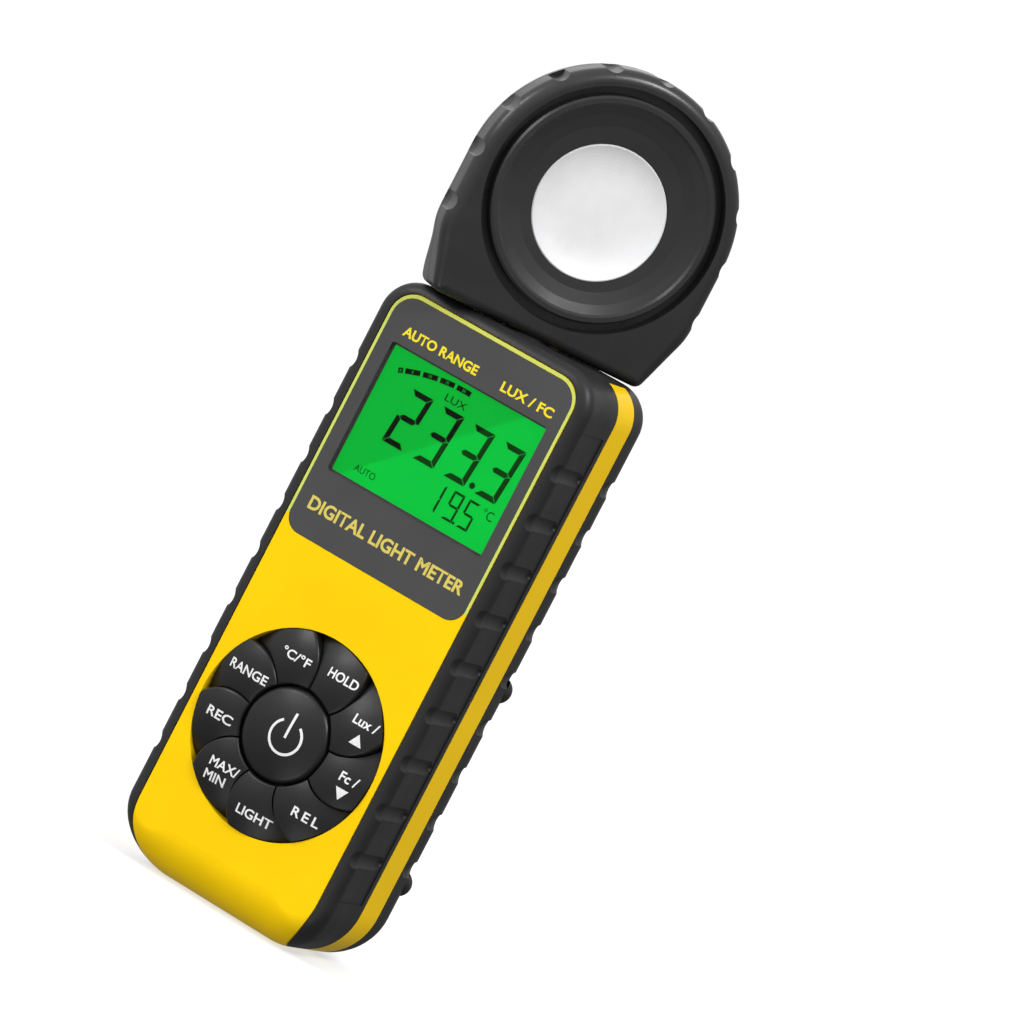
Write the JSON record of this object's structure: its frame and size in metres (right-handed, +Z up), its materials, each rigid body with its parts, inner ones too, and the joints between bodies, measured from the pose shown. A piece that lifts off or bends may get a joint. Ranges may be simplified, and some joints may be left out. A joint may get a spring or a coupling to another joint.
{
  "type": "light meter",
  "caption": "Hand-held light meter with a grip body, lit display, round keypad and a swivelling sensor head with an opal diffuser.",
  "frame": {"origin": "on the flat bottom end, midway between the sides, 1.4 mm in front of the axis that the sensor head swivels about", "axes": "+Z up the body's long axis towards the sensor head, -Y the front face with the display and keys, +X to the right seen from the front"},
  "size_m": [0.0534, 0.0451, 0.1902],
  "materials": {
    "yellow_shell": "semi-gloss moulded ABS, bright yellow",
    "grip_rubber": "satin soft-touch elastomer, black",
    "rear_plastic": "fine spark-eroded texture, black",
    "steel": "zinc-plated steel",
    "brass": "plain brass",
    "label_print": "dark grey printed polycarbonate sheet",
    "window_clear": "clear acrylic window",
    "lcd_cell": "liquid crystal cell, lit green",
    "holder_plastic": "black moulded plastic",
    "backlight_panel": "light guide with green diodes",
    "strip_rubber": "layered contact elastomer",
    "key_rubber": "satin coated silicone, black",
    "membrane_rubber": "grey silicone sheet",
    "board_laminate": "green glass-epoxy board",
    "chip_epoxy": "black moulding compound",
    "aluminium_cans": "drawn aluminium cans",
    "socket_nylon": "natural nylon",
    "cell_wrap": "plain silver sleeve",
    "plated_contacts": "nickel-plated spring steel",
    "bush_acetal": "black acetal",
    "head_plastic": "satin black ABS",
    "collar_plastic": "black ABS, smooth",
    "opal_acrylic": "opal white diffusing acrylic",
    "filter_glass": "eye-response correction filter",
    "diode_package": "silicon cell in a dark package",
    "cable_sheath": "grey sheathed lead"
  },
  "bodies": {
    "body": {"front_case": "yellow_shell", "side_grip": "grip_rubber", "rear_grip": "grip_rubber", "corner_bumpers": "grip_rubber", "rear_case": "rear_plastic", "door_insert": "brass", "case_screws": "steel", "label_panel": "label_print", "display_window": "window_clear", "lcd_glass": "lcd_cell", "lcd_holder": "holder_plastic", "backlight": "backlight_panel", "zebra_strips": "strip_rubber", "key_membrane": "membrane_rubber", "switch_domes": "steel", "main_board": "board_laminate", "board_chips": "chip_epoxy", "board_small_parts": "aluminium_cans", "board_screws": "steel", "temperature_sensor": "chip_epoxy", "cable_socket": "socket_nylon", "cell_left": "cell_wrap", "cell_right": "cell_wrap", "battery_plates": "plated_contacts", "battery_springs": "plated_contacts", "swivel_bush": "bush_acetal", "friction_washer": "steel"},
    "head": {"head_front": "head_plastic", "head_rear": "head_plastic", "head_screws": "steel", "sensor_collar": "collar_plastic", "diffuser": "opal_acrylic", "colour_filter": "filter_glass", "photodiode": "diode_package", "sensor_board": "board_laminate", "sensor_cable": "cable_sheath", "swivel_spindle": "bush_acetal", "stop_pin": "steel", "retaining_clip": "steel"},
    "battery_door": {"battery_door": "rear_plastic", "door_screw": "steel"},
    "key_power": {"key_power": "key_rubber"},
    "key_celsius": {"key_celsius": "key_rubber"},
    "key_range": {"key_range": "key_rubber"},
    "key_record": {"key_record": "key_rubber"},
    "key_max_min": {"key_max_min": "key_rubber"},
    "key_light": {"key_light": "key_rubber"},
    "key_relative": {"key_relative": "key_rubber"},
    "key_down": {"key_down": "key_rubber"},
    "key_up": {"key_up": "key_rubber"},
    "key_hold": {"key_hold": "key_rubber"}
  },
  "joints": [
    {"name": "head_swivel", "type": "hinge", "parent": "body", "child": "head", "pos_m": [0, 0.0014, 0.1319], "axis": [0, 0, 1], "range_deg": [-133, 137]},
    {"name": "press_power", "type": "slide", "parent": "body", "child": "key_power", "axis": [0, 1, 0], "range_m": [0, 0.0006], "stiffness_N_per_m": 500},
    {"name": "press_celsius", "type": "slide", "parent": "body", "child": "key_celsius", "axis": [0, 1, 0], "range_m": [0, 0.0006], "stiffness_N_per_m": 500},
    {"name": "press_range", "type": "slide", "parent": "body", "child": "key_range", "axis": [0, 1, 0], "range_m": [0, 0.0006], "stiffness_N_per_m": 500},
    {"name": "press_record", "type": "slide", "parent": "body", "child": "key_record", "axis": [0, 1, 0], "range_m": [0, 0.0006], "stiffness_N_per_m": 500},
    {"name": "press_max_min", "type": "slide", "parent": "body", "child": "key_max_min", "axis": [0, 1, 0], "range_m": [0, 0.0006], "stiffness_N_per_m": 500},
    {"name": "press_light", "type": "slide", "parent": "body", "child": "key_light", "axis": [0, 1, 0], "range_m": [0, 0.0006], "stiffness_N_per_m": 500},
    {"name": "press_relative", "type": "slide", "parent": "body", "child": "key_relative", "axis": [0, 1, 0], "range_m": [0, 0.0006], "stiffness_N_per_m": 500},
    {"name": "press_down", "type": "slide", "parent": "body", "child": "key_down", "axis": [0, 1, 0], "range_m": [0, 0.0006], "stiffness_N_per_m": 500},
    {"name": "press_up", "type": "slide", "parent": "body", "child": "key_up", "axis": [0, 1, 0], "range_m": [0, 0.0006], "stiffness_N_per_m": 500},
    {"name": "press_hold", "type": "slide", "parent": "body", "child": "key_hold", "axis": [0, 1, 0], "range_m": [0, 0.0006], "stiffness_N_per_m": 500},
    {"name": "battery_door_off", "type": "slide", "parent": "body", "child": "battery_door", "axis": [0, 1, 0], "range_m": [0, 0.02]}
  ]
}
